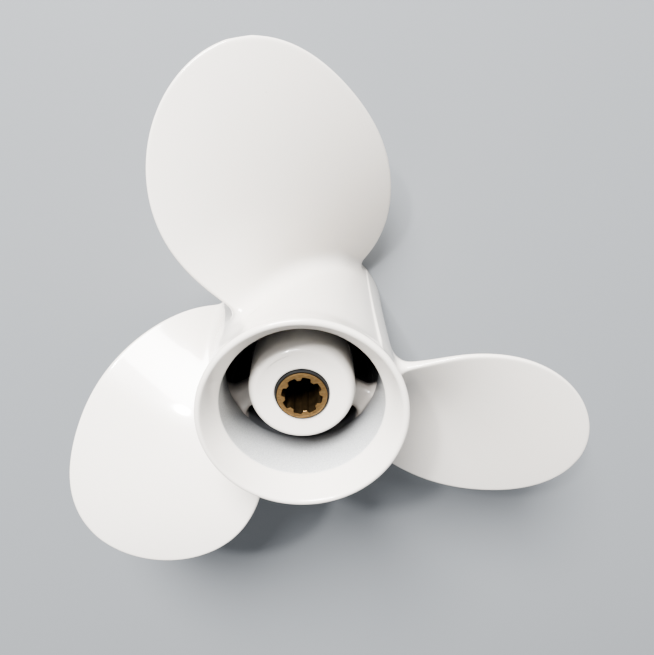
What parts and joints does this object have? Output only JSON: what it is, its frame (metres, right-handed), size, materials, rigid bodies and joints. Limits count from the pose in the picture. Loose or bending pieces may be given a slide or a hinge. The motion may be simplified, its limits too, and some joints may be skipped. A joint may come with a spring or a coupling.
{
  "type": "boat propeller",
  "caption": "Right-hand outboard propeller: broad raked blades on a flared exhaust barrel, with a rubber-cushioned splined brass sleeve inside.",
  "frame": {"origin": "centre of mass, on the shaft axis", "axes": "+Z along the shaft axis, pointing aft (up, as the propeller stands on the forward rim of its barrel); +Y along the first blade"},
  "size_m": [0.2095, 0.2027, 0.088],
  "materials": {
    "white_enamel": "gloss",
    "black_rubber": "matte",
    "brass": "satin"
  },
  "bodies": {
    "casting": {"outer_barrel": "white_enamel", "inner_hub": "white_enamel", "rib_1": "white_enamel", "rib_2": "white_enamel", "rib_3": "white_enamel", "blade_1": "white_enamel", "blade_2": "white_enamel", "blade_3": "white_enamel"},
    "bush": {"rubber_bush": "black_rubber"},
    "sleeve": {"splined_sleeve": "brass"}
  },
  "joints": [
    {"name": "sleeve_windup", "type": "hinge", "parent": "casting", "child": "sleeve", "pos_m": [0, 0, 0], "axis": [0, 0, 1], "range_deg": [-10, 10], "stiffness_Nm_per_rad": 450},
    {"name": "bush_shear", "type": "hinge", "parent": "casting", "child": "bush", "pos_m": [0, 0, 0], "axis": [0, 0, 1], "range_deg": [-5, 5]}
  ],
  "couplings": [
    {"joint": "bush_shear", "follows": "sleeve_windup", "ratio": 0.5}
  ]
}
